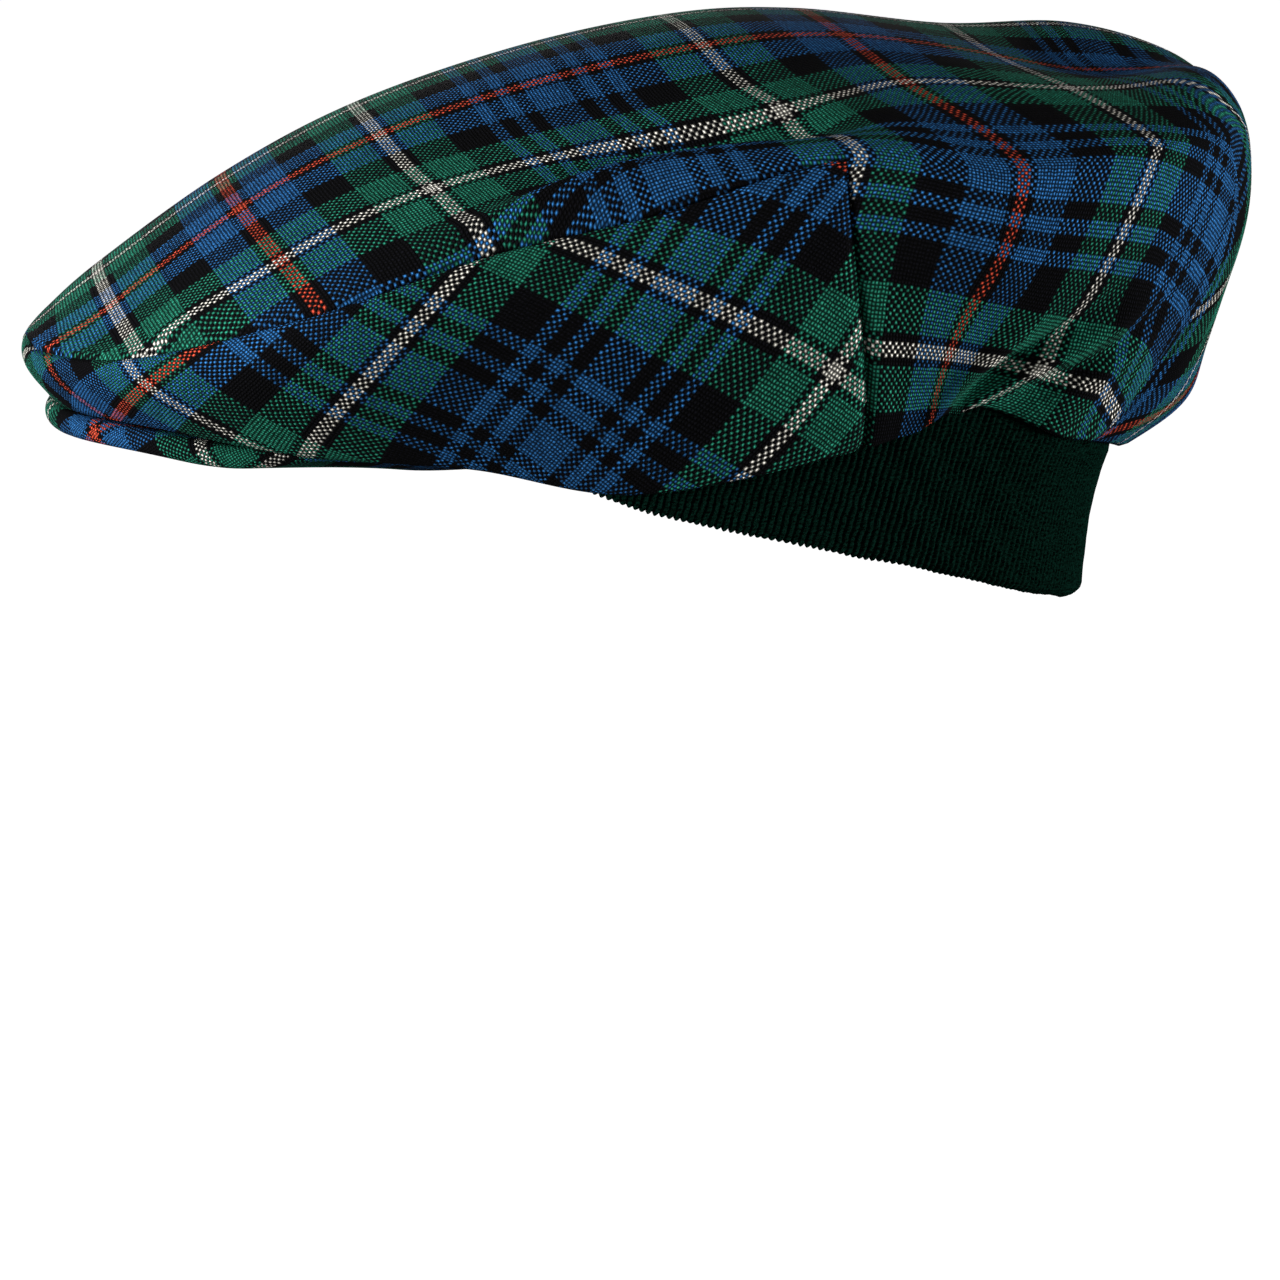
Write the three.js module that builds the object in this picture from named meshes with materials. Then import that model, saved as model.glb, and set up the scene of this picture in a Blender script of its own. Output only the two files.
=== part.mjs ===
// Flat cap of tartan cloth with a knitted ear band, as worn.
// Millimetres, +Z up, the peak towards -Y, the wearer's left towards +X.
// The origin is the middle of the head opening at the height of the hem.
import * as THREE from 'three';

// Thicknesses and clearances.
const CLOTH = 2.0;        // cloth and its lining, one wall
const PEAK_BOARD = 4.2;   // stiffened peak, cloth on both sides
const KNIT = 4.4;         // rib knit folded double
const GAP = 0.3;          // clearance between sewn pieces
const MITRE_REACH = 6;    // width along an edge where the walls turn to the mitre

// Mesh steps.
const STEPS_FRONT = 22;   // sections from the tip to the upright seam
const STEPS_REAR = 22;    // sections from the upright seam to the centre back
const STEPS_ACROSS = 12;  // from the centre line to the edge of the top
const STEPS_DOWN = 10;    // from the edge of the top to the hem

// The crown is lofted through sections that follow the crosswise threads,
// from the front tip (0) round one side to the centre back (11).
// spine: on the centre line; edge: seam or ridge round the top; hem: lower edge.
// facing: degrees from straight ahead; swing: how far the side stands out
// under the edge and over the hem; roll: share of the drop taken at the edge.
const CROWN_COLUMNS = ['spineY', 'spineZ', 'edgeX', 'edgeY', 'edgeZ', 'hemX', 'hemY', 'hemZ',
  'facing', 'swingTop', 'swingLow', 'roll'];
const CROWN = [
  [-149.6, 28.0, 0, -149.6, 28.0, 0, -142.5, 15.6, 0, 1.5, 2.0, 0.00],
  [-143.6, 34.6, 42, -142.6, 29.4, 36, -137.0, 15.2, 18, 2.0, 2.3, 0.00],
  [-131.5, 46.5, 75, -120.7, 32.2, 64, -118.0, 14.0, 38, 3.0, 3.0, 0.00],
  [-102.5, 67.0, 108, -81.2, 44.4, 83, -85.5, 9.4, 68, 5.0, 6.0, 0.05],
  [-71.2, 83.5, 115, -44.8, 57.0, 85, -48.0, 6.4, 84, 6.0, 10.0, 0.15],
  [-32.0, 96.8, 117, -9.5, 65.4, 84, -10.0, 0.3, 90, 6.0, 12.0, 0.30],
  [4.7, 104.4, 117, 32.0, 77.5, 82, 40.0, 9.8, 97, 4.0, 12.0, 0.20],
  [33.0, 105.6, 115, 67.2, 74.7, 75, 65.0, 18.2, 110, 8.0, 15.0, 0.10],
  [67.5, 102.2, 102, 102.5, 79.0, 62, 86.0, 10.2, 130, 7.0, 18.0, 0.10],
  [97.5, 102.6, 76, 124.5, 80.0, 40, 101.5, 6.0, 152, 7.0, 20.0, 0.10],
  [122.0, 95.0, 41, 131.5, 80.0, 20, 107.8, 3.0, 168, 8.0, 21.0, 0.05],
  [134.5, 80.0, 0, 134.5, 80.0, 0, 109.8, 2.0, 180, 8.0, 22.0, 0.00],
];
const UPRIGHT_SEAM = 6;   // section where the side panels end
const LAST = CROWN.length - 1;

// Soft dents and swells of the top: middle and half-size in sections and in
// shares of the width, height in millimetres.
const TOP_FOLD_COLUMNS = ['section', 'across', 'length', 'width', 'height'];
const TOP_FOLDS = [
  [5.4, 0.64, 1.5, 0.20, -4.0],   // hollow inside the shoulder
  [8.9, 0.46, 0.8, 0.26, -7.0],   // valley behind the crown
  [9.5, 0.74, 0.8, 0.26, 3.5],    // corner of the back
];

// Gathers of the rear wings at the hem: middle section, half-size in sections,
// height in millimetres.
const GATHER_COLUMNS = ['section', 'length', 'height'];
const GATHERS = [
  [6.75, 0.22, 3.0],
  [7.35, 0.20, -3.0],
  [7.95, 0.22, 2.5],
  [8.75, 0.30, -2.0],
];

// Peak, a row for each section from the tip to the temple: inner edge along the
// forehead, overhang past the lip.
const PEAK_COLUMNS = ['innerX', 'innerY', 'innerZ', 'overhang'];
const PEAK = [
  [0, -99.0, 12.4, 2.0],
  [23, -96.2, 12.0, 3.0],
  [44, -86.5, 10.6, 4.0],
  [67, -63.0, 7.0, 4.0],
  [79.5, -44.0, 4.6, 1.0],
];
const PEAK_END = 3.95;    // section where the peak stops at the temple
const PEAK_STEPS = 16;
const PEAK_ROWS = 5;

// Knit band, temple to temple round the back: section number, lower edge,
// upper edge, and how far it leans in per millimetre of drop.
const BAND_COLUMNS = ['section', 'lowZ', 'highZ', 'lean'];
const BAND = [
  [4.10, 10.0, 27.0, 0.02],
  [4.60, 3.0, 25.0, 0.04],
  [5.00, -3.4, 24.0, 0.06],
  [5.50, -9.6, 24.0, 0.10],
  [6.00, -15.0, 25.0, 0.14],
  [7.00, -20.5, 27.0, 0.20],
  [8.00, -26.0, 25.0, 0.26],
  [9.00, -30.0, 21.0, 0.28],
  [10.00, -31.2, 20.0, 0.28],
  [11.00, -31.6, 20.0, 0.28],
];
const BAND_STEPS = 30;
const FOLD_STEPS = 4;

const up = new THREE.Vector3(0, 0, 1);

// Catmull-Rom between four rows.
function blend(a, b, c, d, t) {
  return a.map((p0, i) => {
    const p1 = b[i];
    const p2 = c[i];
    const p3 = d[i];
    const square = 2 * p0 - 5 * p1 + 4 * p2 - p3;
    const cube = 3 * p1 - p0 - 3 * p2 + p3;
    return 0.5 * (2 * p1 + (p2 - p0) * t + square * t * t + cube * t * t * t);
  });
}

// Row seen in the mirror of the centre plane: X and the facing change sign.
function mirrored(row, columns, turn) {
  return row.map((value, i) => {
    if (columns[i].endsWith('X')) return -value;
    if (columns[i] === 'facing') return turn - value;
    return value;
  });
}

function named(columns, row) {
  return Object.fromEntries(columns.map((name, i) => [name, row[i]]));
}

function crownAt(s) {
  const i = Math.min(Math.max(Math.floor(s), 0), LAST - 1);
  const before = i > 0 ? CROWN[i - 1] : mirrored(CROWN[1], CROWN_COLUMNS, 0);
  const after = i + 2 <= LAST ? CROWN[i + 2] : mirrored(CROWN[LAST - 1], CROWN_COLUMNS, 360);
  return named(CROWN_COLUMNS, blend(before, CROWN[i], CROWN[i + 1], after, s - i));
}

function peakAt(s) {
  const t = (s / PEAK_END) * (PEAK.length - 1);
  const i = Math.min(Math.floor(t), PEAK.length - 2);
  const before = i > 0 ? PEAK[i - 1] : mirrored(PEAK[1], PEAK_COLUMNS, 0);
  const after = i + 2 < PEAK.length ? PEAK[i + 2] : PEAK[i + 1];
  return named(PEAK_COLUMNS, blend(before, PEAK[i], PEAK[i + 1], after, t - i));
}

function bandAt(s) {
  let i = 0;
  while (i < BAND.length - 2 && BAND[i + 1][0] < s) i += 1;
  const t = (s - BAND[i][0]) / (BAND[i + 1][0] - BAND[i][0]);
  const before = BAND[Math.max(i - 1, 0)];
  const after = i + 2 < BAND.length ? BAND[i + 2] : BAND[i];
  return named(BAND_COLUMNS, blend(before, BAND[i], BAND[i + 1], after, t));
}

function bell(distance) {
  return Math.exp(-distance * distance);
}

function outward(row) {
  const angle = THREE.MathUtils.degToRad(row.facing);
  return new THREE.Vector3(Math.sin(angle), -Math.cos(angle), 0);
}

// Top of the crown: section s, share w from the centre line (-1 to 1).
function topPoint(s, w) {
  const row = crownAt(s);
  const a = Math.abs(w);
  const drop = (1 - row.roll) * a ** 2 + row.roll * a ** 8;
  const point = new THREE.Vector3(
    row.edgeX * w,
    row.spineY + (row.edgeY - row.spineY) * a * a,
    row.spineZ + (row.edgeZ - row.spineZ) * drop,
  );
  for (const values of TOP_FOLDS) {
    const fold = named(TOP_FOLD_COLUMNS, values);
    point.z += fold.height * bell((s - fold.section) / fold.length) * bell((a - fold.across) / fold.width)
      * Math.min(1, (1 - a) * 8, s, (LAST - s) * 2);
  }
  return point;
}

// Side of the crown: section s, share q from the edge (0) to the hem (1).
function sidePoint(s, q) {
  const row = crownAt(s);
  const out = outward(row);
  const edge = new THREE.Vector3(row.edgeX, row.edgeY, row.edgeZ);
  const hem = new THREE.Vector3(row.hemX, row.hemY, row.hemZ);
  const drop = row.edgeZ - row.hemZ;
  const upper = edge.clone().addScaledVector(out, row.swingTop).addScaledVector(up, -0.33 * drop);
  const lower = hem.clone().addScaledVector(out, row.swingLow).addScaledVector(up, 0.25 * drop);
  const point = new THREE.CubicBezierCurve3(edge, upper, lower, hem).getPoint(q);
  const share = Math.sin(Math.PI * Math.min(1, q * q));
  for (const values of GATHERS) {
    const gather = named(GATHER_COLUMNS, values);
    point.addScaledVector(out, gather.height * share * bell((s - gather.section) / gather.length));
  }
  return point;
}

// Outward normal of a surface by small differences.
function normalOf(surface, a, b, limits) {
  const step = 1e-3;
  const a0 = Math.max(a - step, limits[0]);
  const a1 = Math.min(a + step, limits[1]);
  const b0 = Math.max(b - step, limits[2]);
  const b1 = Math.min(b + step, limits[3]);
  const alongA = surface(a1, b).sub(surface(a0, b));
  const alongB = surface(a, b1).sub(surface(a, b0));
  return alongA.cross(alongB).normalize();
}

function topNormal(s, w) {
  const kept = Math.min(Math.max(s, 0.03), LAST - 0.03);
  return normalOf(topPoint, kept, w, [0, LAST, -1, 1]).negate();
}

function sideNormal(s, q) {
  const kept = Math.min(Math.max(s, 0.002), LAST - 0.002);
  return normalOf(sidePoint, kept, q, [0, LAST, 0, 1]).negate();
}

// Shared mitre of the top and the side along the edge.
function edgeNormal(s) {
  const above = topNormal(s, 1);
  const below = sideNormal(s, 0);
  const mitre = above.clone().add(below).normalize();
  return mitre.divideScalar(Math.max(mitre.dot(below), 0.7));
}

// Inward wall of the side: square to the cloth, level at the hem.
function sideWall(s, q) {
  const normal = q < 1e-6 ? edgeNormal(s) : sideNormal(s, q);
  const level = THREE.MathUtils.smoothstep(q, 0.7, 1);
  const inward = normal.lerp(outward(crownAt(s)), level);
  return inward.multiplyScalar(-CLOTH);
}

// Mesh gathered from grids of points, each with its step to the far face.
class Shell {
  constructor() {
    this.points = [];
    this.steps = [];
    this.keys = new Map();
    this.faces = [];
  }

  vertex(point, step) {
    const key = point.toArray().map((value) => Math.round(value * 1000)).join(' ');
    if (!this.keys.has(key)) {
      this.keys.set(key, this.points.length);
      this.points.push(point);
      this.steps.push(step);
    }
    return this.keys.get(key);
  }

  face(a, b, c) {
    if (a !== b && b !== c && c !== a) this.faces.push([a, b, c]);
  }

  grid(rows) {
    for (let i = 0; i + 1 < rows.length; i += 1) {
      for (let j = 0; j + 1 < rows[i].length; j += 1) {
        const [a, b, c, d] = [rows[i][j], rows[i][j + 1], rows[i + 1][j + 1], rows[i + 1][j]];
        this.face(a, b, c);
        this.face(a, c, d);
      }
    }
  }

  // Outer face, far face and the walls round every open edge.
  geometry() {
    const count = this.points.length;
    const far = this.points.map((point, i) => point.clone().add(this.steps[i]));
    const triangles = [];
    const edges = new Map();
    for (const [a, b, c] of this.faces) {
      triangles.push([a, b, c], [a + count, c + count, b + count]);
      for (const [from, to] of [[a, b], [b, c], [c, a]]) edges.set(`${from} ${to}`, [from, to]);
    }
    for (const [from, to] of edges.values()) {
      if (edges.has(`${to} ${from}`)) continue;
      triangles.push([to, from, from + count], [to, from + count, to + count]);
    }
    return meshOf([...this.points, ...far], triangles);
  }
}

// Buffer geometry with its faces turned outwards.
function meshOf(points, triangles) {
  let volume = 0;
  for (const [a, b, c] of triangles) {
    volume += points[a].dot(points[b].clone().cross(points[c]));
  }
  const order = volume > 0 ? triangles : triangles.map(([a, b, c]) => [a, c, b]);
  const geometry = new THREE.BufferGeometry();
  geometry.setAttribute('position', new THREE.Float32BufferAttribute(points.flatMap((p) => p.toArray()), 3));
  geometry.setIndex(order.flat());
  geometry.computeVertexNormals();
  return geometry;
}

function spread(from, to, steps) {
  return Array.from({ length: steps + 1 }, (_, i) => from + ((to - from) * i) / steps);
}

const flip = new THREE.Vector3(-1, 1, 1);
const SEAM_STEP = 0.008;  // half the gap of the upright seam, in sections

// Top panel: from the tip over the crown, with its wings down and round the back.
function crownTop() {
  const shell = new Shell();
  const front = spread(0, UPRIGHT_SEAM, STEPS_FRONT);
  front[STEPS_FRONT] += SEAM_STEP;
  const rear = spread(UPRIGHT_SEAM + SEAM_STEP, LAST, STEPS_REAR);
  const sections = [...front, ...rear.slice(1)];
  const across = spread(-1, 1, 2 * STEPS_ACROSS).map((w) => w * (1.15 - 0.15 * w * w));
  // Square to the cloth inside, turning to the shared mitre close to the edge.
  const wall = (s, w) => {
    const a = Math.abs(w);
    const row = crownAt(s);
    const inset = Math.min(row.spineY - CROWN[0][0], row.edgeX) * (1 - a * a);
    const near = s > UPRIGHT_SEAM && a < 0.999 ? 0 : 1 - THREE.MathUtils.smoothstep(inset, 0, MITRE_REACH);
    const mitre = edgeNormal(s * a);
    if (w < 0) mitre.multiply(flip);
    return topNormal(s, w).lerp(mitre, near).multiplyScalar(-CLOTH);
  };
  const disc = sections.map((s) => across.map((w) => shell.vertex(topPoint(s, w), wall(s, w))));
  shell.grid(disc);
  const down = spread(0, 1, STEPS_DOWN);
  const wing = (side) => rear.map((s, i) => down.map((q) => {
    if (q === 0) return disc[STEPS_FRONT + i].at(side > 0 ? -1 : 0);
    const point = sidePoint(s, q);
    const step = sideWall(s, q);
    return side > 0 ? shell.vertex(point, step) : shell.vertex(point.multiply(flip), step.multiply(flip));
  }));
  shell.grid(wing(1));
  shell.grid(wing(-1).reverse());
  return shell.geometry();
}

// Side panel: a long crescent from the centre front to the upright seam.
function sidePanel(side) {
  const shell = new Shell();
  const sections = spread(0, UPRIGHT_SEAM, STEPS_FRONT);
  sections[0] = GAP / 2 / CROWN[1][2];
  sections[STEPS_FRONT] -= SEAM_STEP;
  shell.grid(sections.map((s) => {
    const row = crownAt(s);
    const length = Math.hypot(row.edgeZ - row.hemZ, row.edgeX - row.hemX, row.edgeY - row.hemY);
    return spread(GAP / length, 1, STEPS_DOWN - 2).map((q, j) => {
      const point = sidePoint(s, q);
      const step = j === 0 ? edgeNormal(s).multiplyScalar(-CLOTH) : sideWall(s, q);
      return side > 0 ? shell.vertex(point, step) : shell.vertex(point.multiply(flip), step.multiply(flip));
    });
  }));
  return shell.geometry();
}

// Peak: a stiff plate from the forehead to just past the lip of the crown.
function peak() {
  const shell = new Shell();
  const sections = spread(-PEAK_END, PEAK_END, 2 * PEAK_STEPS);
  shell.grid(sections.map((s) => {
    const side = Math.sign(s);
    const crown = crownAt(Math.abs(s));
    const row = peakAt(Math.abs(s));
    const out = outward(crown);
    const lip = new THREE.Vector3(crown.hemX, crown.hemY, crown.hemZ - GAP);
    const inner = new THREE.Vector3(row.innerX, row.innerY, row.innerZ);
    const outer = lip.clone().addScaledVector(out, row.overhang).addScaledVector(up, -0.15 * row.overhang);
    const board = spread(0, 1, PEAK_ROWS).map((t) => inner.clone().lerp(lip, t));
    return [...board, outer].map((point) => {
      if (side < 0) point.multiply(flip);
      const rounding = point.distanceTo(outer) < 1e-6 ? 0.6 : 0;
      point.z -= rounding;
      return shell.vertex(point, up.clone().multiplyScalar(-PEAK_BOARD + 2 * rounding));
    });
  }));
  return shell.geometry();
}

// Knit band: a strip of doubled rib knit, its fold at the bottom.
function knitBand() {
  const half = spread(BAND[0][0], LAST, BAND_STEPS);
  const place = (s, side, depth, z) => {
    const crown = crownAt(s);
    const lean = bandAt(s).lean * (crown.hemZ - z);
    const point = new THREE.Vector3(crown.hemX, crown.hemY, z);
    point.addScaledVector(outward(crown), -(CLOTH + GAP + Math.max(lean, 0) + depth));
    return side < 0 ? point.multiply(flip) : point;
  };
  const ring = (s, side) => {
    const row = bandAt(s);
    const radius = KNIT / 2;
    const fold = spread(0, Math.PI, FOLD_STEPS).map((angle) => place(
      s,
      side,
      radius - radius * Math.cos(angle),
      row.lowZ + radius - radius * Math.sin(angle),
    ));
    const middle = Math.max(crownAt(s).hemZ, row.lowZ + 2 * radius);
    const rise = spread(1, 0, 2).map((t) => row.highZ + (middle - row.highZ) * t);
    return [
      ...rise.toReversed().map((z) => place(s, side, 0, z)),
      ...fold,
      ...rise.map((z) => place(s, side, KNIT, z)),
    ];
  };
  const rings = [
    ...half.map((s) => ring(s, 1)),
    ...half.slice(0, -1).toReversed().map((s) => ring(s, -1)),
  ];
  const points = rings.flat();
  const size = rings[0].length;
  const triangles = [];
  for (let i = 0; i + 1 < rings.length; i += 1) {
    for (let j = 0; j < size; j += 1) {
      const k = (j + 1) % size;
      const [a, b, c, d] = [i * size + j, i * size + k, (i + 1) * size + k, (i + 1) * size + j];
      triangles.push([a, b, c], [a, c, d]);
    }
  }
  const last = (rings.length - 1) * size;
  for (let j = 1; j + 1 < size; j += 1) {
    triangles.push([0, j + 1, j], [last, last + j, last + j + 1]);
  }
  return meshOf(points, triangles);
}

const cap = new THREE.Group();
cap.name = 'flat_cap';

function addPiece(name, geometry, colour) {
  const material = new THREE.MeshStandardMaterial({ color: colour, roughness: 0.9, metalness: 0 });
  const mesh = new THREE.Mesh(geometry, material);
  mesh.name = name;
  cap.add(mesh);
}

addPiece('crown_top', crownTop(), '#1d4a63');
addPiece('side_panel_left', sidePanel(1), '#1b5c52');
addPiece('side_panel_right', sidePanel(-1), '#1b5c52');
addPiece('peak', peak(), '#1a3f6b');
addPiece('knit_band', knitBand(), '#06251b');

export default cap;
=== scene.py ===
"""Flat cap of wool tartan with a rib-knit ear band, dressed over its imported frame."""
import math
import bmesh
import bpy
import numpy as np
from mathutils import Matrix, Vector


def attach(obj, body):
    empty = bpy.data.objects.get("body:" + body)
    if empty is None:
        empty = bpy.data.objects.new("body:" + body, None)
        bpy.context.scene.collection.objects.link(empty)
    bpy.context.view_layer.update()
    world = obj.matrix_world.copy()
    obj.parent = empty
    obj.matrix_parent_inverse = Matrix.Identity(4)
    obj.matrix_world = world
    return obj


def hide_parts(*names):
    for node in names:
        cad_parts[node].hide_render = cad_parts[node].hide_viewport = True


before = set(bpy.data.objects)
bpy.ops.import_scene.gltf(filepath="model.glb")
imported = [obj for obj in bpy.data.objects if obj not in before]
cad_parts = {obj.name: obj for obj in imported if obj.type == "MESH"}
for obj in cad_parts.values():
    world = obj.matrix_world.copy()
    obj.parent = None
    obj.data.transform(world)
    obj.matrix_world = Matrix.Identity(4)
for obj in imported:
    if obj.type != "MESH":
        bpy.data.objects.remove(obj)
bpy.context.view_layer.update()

# Crown top
# The large top panel of wool tartan, cut on the straight grain, from the lip over the crown, with its two
# wings gathered down round the back. It is sewn to the side panels along its edge, with a row of topstitch,
# and turned in at the hem.
MM = 0.001
CLOTH = 2.0                  # cloth and its turned-in backing, millimetres
TINY = 1e-9                  # keeps a divisor from zero
UP = np.array([0, 0, 1.0])
MIRROR = np.array([-1.0, 1, 1])

# Sections follow the crosswise threads from the front tip (0) round to the centre back (11), in millimetres.
# spine: on the centre line; edge: seam or ridge round the top; hem: lower edge; facing: degrees from straight
# ahead; swing: how far the side stands out; roll: share of the drop taken at the edge.
CROWN_COLUMNS = ["spine_y", "spine_z", "edge_x", "edge_y", "edge_z", "hem_x", "hem_y", "hem_z",
                 "facing", "swing_top", "swing_low", "roll"]
CROWN = np.array([
    [-148.2, 31.0, 0, -148.2, 31.0, 0, -142.5, 15.6, 0, 5.0, 2.0, 0.00],
    [-143.6, 36.0, 42, -142.6, 30.4, 36, -137.0, 15.2, 18, 5.0, 2.3, 0.00],
    [-131.5, 46.5, 75, -120.7, 32.2, 64, -118.0, 14.0, 38, 5.0, 3.0, 0.00],
    [-102.5, 67.0, 108, -81.2, 44.4, 83, -85.5, 9.4, 68, 5.0, 6.0, 0.05],
    [-71.2, 83.5, 115, -44.8, 57.0, 85, -48.0, 6.4, 84, 6.0, 10.0, 0.15],
    [-32.0, 96.8, 117, -9.5, 65.4, 84, -10.0, 0.3, 90, 6.0, 12.0, 0.30],
    [4.7, 104.4, 117, 32.0, 77.5, 82, 40.0, 9.8, 97, 4.0, 12.0, 0.20],
    [33.0, 105.6, 115, 67.2, 74.7, 75, 65.0, 18.2, 110, 8.0, 15.0, 0.10],
    [67.5, 102.2, 102, 102.5, 79.0, 62, 86.0, 10.2, 130, 7.0, 18.0, 0.10],
    [97.5, 102.6, 76, 124.5, 80.0, 40, 101.5, 6.0, 152, 5.0, 24.0, 0.10],
    [122.0, 95.5, 41, 133.0, 82.5, 20, 107.8, 3.0, 168, 4.0, 27.0, 0.05],
    [136.3, 84.0, 0, 136.3, 84.0, 0, 109.8, 2.0, 180, 4.0, 28.0, 0.00],
])
UPRIGHT_SEAM = 6             # section where the side panels end
LAST = len(CROWN) - 1

# Soft dents and swells of the top: middle section, share of the width, half-size in sections and in shares,
# height in mm.
TOP_FOLDS = np.array([
    [5.4, 0.64, 1.5, 0.20, -4.0],     # hollow inside the shoulder
    [8.9, 0.46, 0.8, 0.26, -7.0],     # valley behind the crown
    [9.5, 0.74, 0.8, 0.26, 3.5],      # corner of the back
    [5.3, 0.865, 0.6, 0.04, -4.5],    # crease behind the shoulder
    [5.95, 0.90, 0.35, 0.05, -4.0],   # its deep end by the upright seam
    [4.8, 0.945, 0.75, 0.035, 10.7],  # crest of the shoulder
])
EDGE_FADE = 8                # the folds die out over the last eighth of the width
BACK_FADE = 2                # and over the last half section of the back

# Shape of the sides: the arms of their curve as shares of the drop, and the shares of the drop where the
# gathers start and where they are full.
UPPER_ARM = 0.33
LOWER_ARM = 0.25
GATHER_START = 0.35
GATHER_FULL = 0.75

# Gathers of the rear wings: middle section at the hem, how many sections it leans back per share of the drop,
# half-size in sections, height in mm above the hem and height at the hem.
GATHERS = np.array([
    [6.10, 0.0, 0.05, 0.8, 0.0],      # pleat behind the upright seam
    [6.46, 1.8, 0.16, 3.6, 3.0],      # fold under the red line
    [6.68, 2.0, 0.09, -3.6, 0.0],     # hollow between the two folds
    [6.88, 2.2, 0.11, 3.2, 3.2],      # fold under the white line
    [7.16, 2.2, 0.13, -3.8, 0.0],     # hollow behind it
    [7.80, 0.5, 0.30, 3.0, 2.0],      # full lower wing
    [8.75, 0.0, 0.30, -2.0, 0.0],     # hollow by the dart
])

# Folds of the back: middle section, share of the drop, half-size in sections and in shares, height in mm.
BACK_FOLDS = np.array([
    [11.0, 0.47, 1.6, 0.17, -3.8],    # waist
    [11.0, 0.84, 1.6, 0.13, 4.6],     # swell over the hem
])


def bell(distance):
    """Bell curve exp(-d squared)."""
    return np.exp(-distance ** 2)


def ease(low, high, value):
    """Smooth step from 0 at low to 1 at high."""
    t = np.clip((value - low) / (high - low), 0, 1)
    return t * t * (3 - 2 * t)


def through_rows(rows, place):
    """Catmull-Rom curve through table rows; they start and end with a ghost row, place counts from row 1."""
    first = np.clip(np.floor(place).astype(int), 0, len(rows) - 4)
    t = (place - first)[..., None]
    a, b, c, d = (rows[first + k] for k in range(4))
    square = 2 * a - 5 * b + 4 * c - d
    cube = 3 * b - a - 3 * c + d
    return 0.5 * (2 * b + (c - a) * t + square * t ** 2 + cube * t ** 3)


def mirrored(row, turn):
    """A section seen in the mirror of the centre plane: X and the facing change sign."""
    flip = np.array([-1 if name.endswith("x") or name == "facing" else 1 for name in CROWN_COLUMNS])
    shift = np.array([turn if name == "facing" else 0 for name in CROWN_COLUMNS])
    return row * flip + shift


CROWN_ROWS = np.vstack([mirrored(CROWN[1], 0), CROWN, mirrored(CROWN[-2], 360)])


def crown_at(section):
    """Named section values at any place along the crown."""
    values = through_rows(CROWN_ROWS, section)
    return {name: values[..., k] for k, name in enumerate(CROWN_COLUMNS)}


def outward(row):
    """Level unit vector that a section faces."""
    angle = np.radians(row["facing"])
    return np.stack([np.sin(angle), -np.cos(angle), np.zeros_like(angle)], -1)


def top_surface(section, across):
    """Top of the crown: from the spine to the edge, y by the square of the share across, z by a mix of the
    square and the eighth power (roll), plus bell-shaped folds that fade at the edge and at both ends."""
    row = crown_at(section)
    share = np.abs(across)
    drop = (1 - row["roll"]) * share ** 2 + row["roll"] * share ** 8
    x = row["edge_x"] * across
    y = row["spine_y"] + (row["edge_y"] - row["spine_y"]) * share ** 2
    z = row["spine_z"] + (row["edge_z"] - row["spine_z"]) * drop
    fade = np.minimum(1, (1 - share) * EDGE_FADE)
    fade = np.minimum(fade, np.minimum(section, (LAST - section) * BACK_FADE))
    for middle, reach, length, width, height in TOP_FOLDS:
        z = z + height * bell((section - middle) / length) * bell((share - reach) / width) * fade
    return np.stack([x, y, z], -1)


def side_surface(section, down):
    """Side of the crown: a cubic Bezier from edge to hem, standing out by the two swings, with the gathers
    as leaning bells along the hem and the folds of the back as level ones."""
    row = crown_at(section)
    out = outward(row)
    edge = np.stack([row["edge_x"], row["edge_y"], row["edge_z"]], -1)
    hem = np.stack([row["hem_x"], row["hem_y"], row["hem_z"]], -1)
    drop = (row["edge_z"] - row["hem_z"])[..., None]
    upper = edge + out * row["swing_top"][..., None] - UP * UPPER_ARM * drop
    lower = hem + out * row["swing_low"][..., None] + UP * LOWER_ARM * drop
    q = down[..., None]
    p = 1 - q
    point = edge * p ** 3 + 3 * upper * q * p ** 2 + 3 * lower * q ** 2 * p + hem * q ** 3
    started = ease(GATHER_START, GATHER_FULL, down)
    at_hem = ease(GATHER_FULL, 1, down)
    for middle, lean, length, height, hem_height in GATHERS:
        swell = started * (height + (hem_height - height) * at_hem)
        point = point + out * (swell * bell((section - middle - lean * (1 - down)) / length))[..., None]
    for middle, reach, length, width, height in BACK_FOLDS:
        swell = height * bell((section - middle) / length) * bell((down - reach) / width)
        point = point + out * swell[..., None]
    return point


def lengths(points, axis):
    """Distance along grid lines from their start."""
    step = np.linalg.norm(np.diff(points, axis=axis), axis=-1)
    start = np.zeros_like(np.take(step, [0], axis=axis))
    return np.concatenate([start, np.cumsum(step, axis=axis)], axis=axis)


def normals(points):
    """Unit normals of a grid by differences along its two directions."""
    cross = np.cross(np.gradient(points, axis=0), np.gradient(points, axis=1))
    return cross / np.maximum(np.linalg.norm(cross, axis=-1, keepdims=True), TINY)


# The crown as one grid, from the far hem over the top to the near hem, so that the cloth turns softly over
# its edge. The dart that parts the gathered wing from the back is a groove down to the hem.
FRONT_STEPS = 120            # sections from the tip to the upright seam
WING_STEPS = 72              # sections from the upright seam to the dart
BACK_STEPS = 32              # sections from the dart to the centre back
ACROSS_STEPS = 66            # from the centre line to the edge of the top
CROWDING = 1.35              # how the steps across crowd towards the edge
DOWN_STEPS = 58              # from the edge to the hem
DART = 8.85                  # section of the dart
DART_TOP = 0.35              # share of the drop where it starts
DART_TUCK = 2.4              # its depth
DART_REACH = 0.16            # its half-size in sections

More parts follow.
